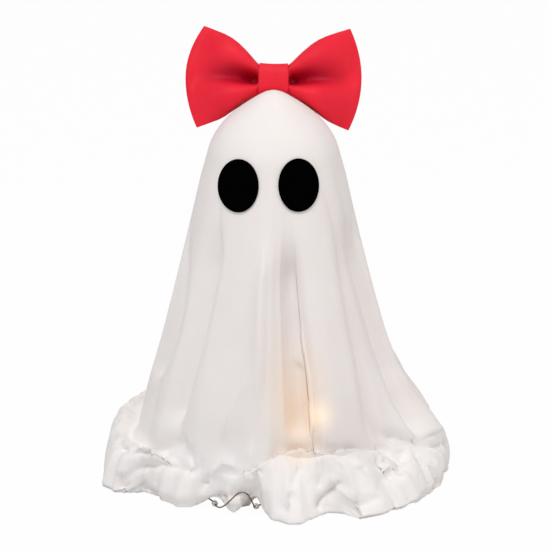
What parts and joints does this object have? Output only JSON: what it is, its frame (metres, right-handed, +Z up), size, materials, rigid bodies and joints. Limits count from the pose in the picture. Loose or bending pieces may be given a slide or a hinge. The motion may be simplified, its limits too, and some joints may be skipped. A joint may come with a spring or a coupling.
{
  "type": "ghost tabletop ornament",
  "caption": "Draped white cloth ghost with felt eyes and a red bow over a foam head on a wooden stand, lit from inside by a battery light string.",
  "frame": {"origin": "centre of the base board's underside, on the table", "axes": "+Z up along the post; the face and the front of the ghost look along -Y; +X is to the right as seen from the front"},
  "size_m": [0.2501, 0.2498, 0.323],
  "materials": {
    "beech": "sanded beech",
    "dowel": "bare dowel",
    "foam": "fine white craft foam",
    "box_plastic": "off-white moulded plastic",
    "door_plastic": "off-white moulded plastic",
    "cell_jacket": "plain dark green sleeve",
    "nickel_steel": "nickel-plated spring steel",
    "knob_plastic": "black plastic",
    "tape_foam": "white adhesive foam",
    "copper_wire": "thin lacquered copper wire",
    "white_cloth": "smooth white polyester cloth",
    "black_felt": "black felt",
    "red_satin": "matt red satin",
    "band_satin": "matt red satin",
    "glue": "clear hot glue",
    "clear_resin": "clear resin drop"
  },
  "bodies": {
    "stand": {"base_board": "beech", "post": "dowel", "foam_head": "foam", "battery_box": "box_plastic", "cell_left": "cell_jacket", "cell_right": "cell_jacket", "contact_link": "nickel_steel", "contact_positive": "nickel_steel", "contact_negative": "nickel_steel", "spring_left": "nickel_steel", "spring_right": "nickel_steel", "switch_body": "nickel_steel", "foam_tape": "tape_foam", "light_winding": "copper_wire", "light_string": "copper_wire", "lamp_01": "clear_resin", "lamp_02": "clear_resin", "lamp_03": "clear_resin", "lamp_04": "clear_resin", "lamp_05": "clear_resin", "lamp_06": "clear_resin", "lamp_07": "clear_resin", "lamp_08": "clear_resin", "lamp_09": "clear_resin", "lamp_10": "clear_resin", "lamp_11": "clear_resin"},
    "cover": {"cloth_cover": "white_cloth", "eye_left": "black_felt", "eye_right": "black_felt", "bow": "red_satin", "bow_band": "band_satin", "bow_pad": "glue"},
    "door": {"battery_door": "door_plastic"},
    "knob": {"switch_knob": "knob_plastic"}
  },
  "joints": [
    {"name": "cover_lift", "type": "slide", "parent": "stand", "child": "cover", "axis": [0, 0, 1], "range_m": [0, 0.3]},
    {"name": "door_slide", "type": "slide", "parent": "stand", "child": "door", "axis": [0, 0, 1], "range_m": [0, 0.062]},
    {"name": "switch_slide", "type": "slide", "parent": "stand", "child": "knob", "axis": [1, 0, 0], "range_m": [0, 0.003]}
  ]
}
